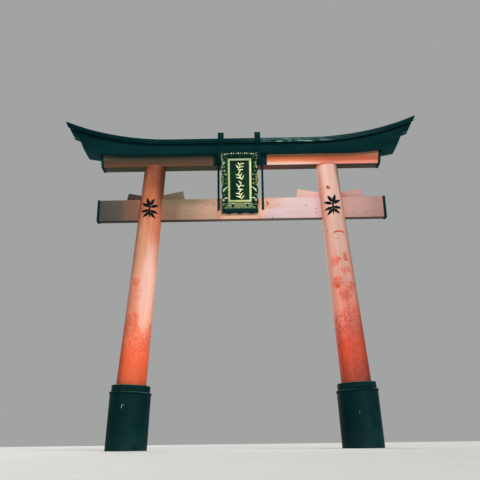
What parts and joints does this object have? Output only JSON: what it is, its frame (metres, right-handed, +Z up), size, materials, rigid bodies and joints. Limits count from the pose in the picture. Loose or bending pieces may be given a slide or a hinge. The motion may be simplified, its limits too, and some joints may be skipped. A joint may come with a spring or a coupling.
{
  "type": "torii gate",
  "caption": "Timber shrine gate with leaning round pillars in black foot wraps, a wedged tie beam, an upswept double lintel and a leaning plaque hung over the passage.",
  "frame": {"origin": "on the ground, midway between the pillars, in the plane of their axes", "axes": "+X along the gate, the front with the plaque faces -Y, +Z up"},
  "size_m": [6.3376, 0.658, 5.7002],
  "materials": {
    "pillar_paint": "weathered orange-red paint on round timber",
    "beam_paint": "faded orange paint on sawn timber",
    "black_paint": "weathered black paint on timber",
    "wrap_black": "black paint on the foot wraps",
    "iron_black": "black painted iron strip",
    "plaque_green": "dark green lacquer on carved wood",
    "gilt": "pale worn gilding"
  },
  "bodies": {
    "root": {"left_pillar": "pillar_paint", "right_pillar": "pillar_paint", "lower_lintel": "pillar_paint", "centre_strut": "pillar_paint", "tie_beam": "beam_paint", "left_outer_wedge": "beam_paint", "left_inner_wedge": "beam_paint", "right_inner_wedge": "beam_paint", "right_outer_wedge": "beam_paint", "upper_lintel": "black_paint", "front_roof_board": "black_paint", "back_roof_board": "black_paint", "ridge_board": "black_paint", "left_base_wrap": "wrap_black", "left_base_lip": "wrap_black", "left_base_collar": "wrap_black", "right_base_wrap": "wrap_black", "right_base_lip": "wrap_black", "right_base_collar": "wrap_black", "hanger_plate": "iron_black", "plaque_rest": "iron_black", "plaque_crossbar": "iron_black", "left_hanger_bar": "iron_black", "left_hanger_strap": "iron_black", "left_tie_cap": "iron_black", "left_lintel_cap": "iron_black", "right_hanger_bar": "iron_black", "right_hanger_strap": "iron_black", "right_tie_cap": "iron_black", "right_lintel_cap": "iron_black", "plaque_panel": "plaque_green", "plaque_bottom_border": "plaque_green", "plaque_right_border": "plaque_green", "plaque_top_border": "plaque_green", "plaque_left_border": "plaque_green", "plaque_moulding": "gilt"}
  },
  "joints": []
}
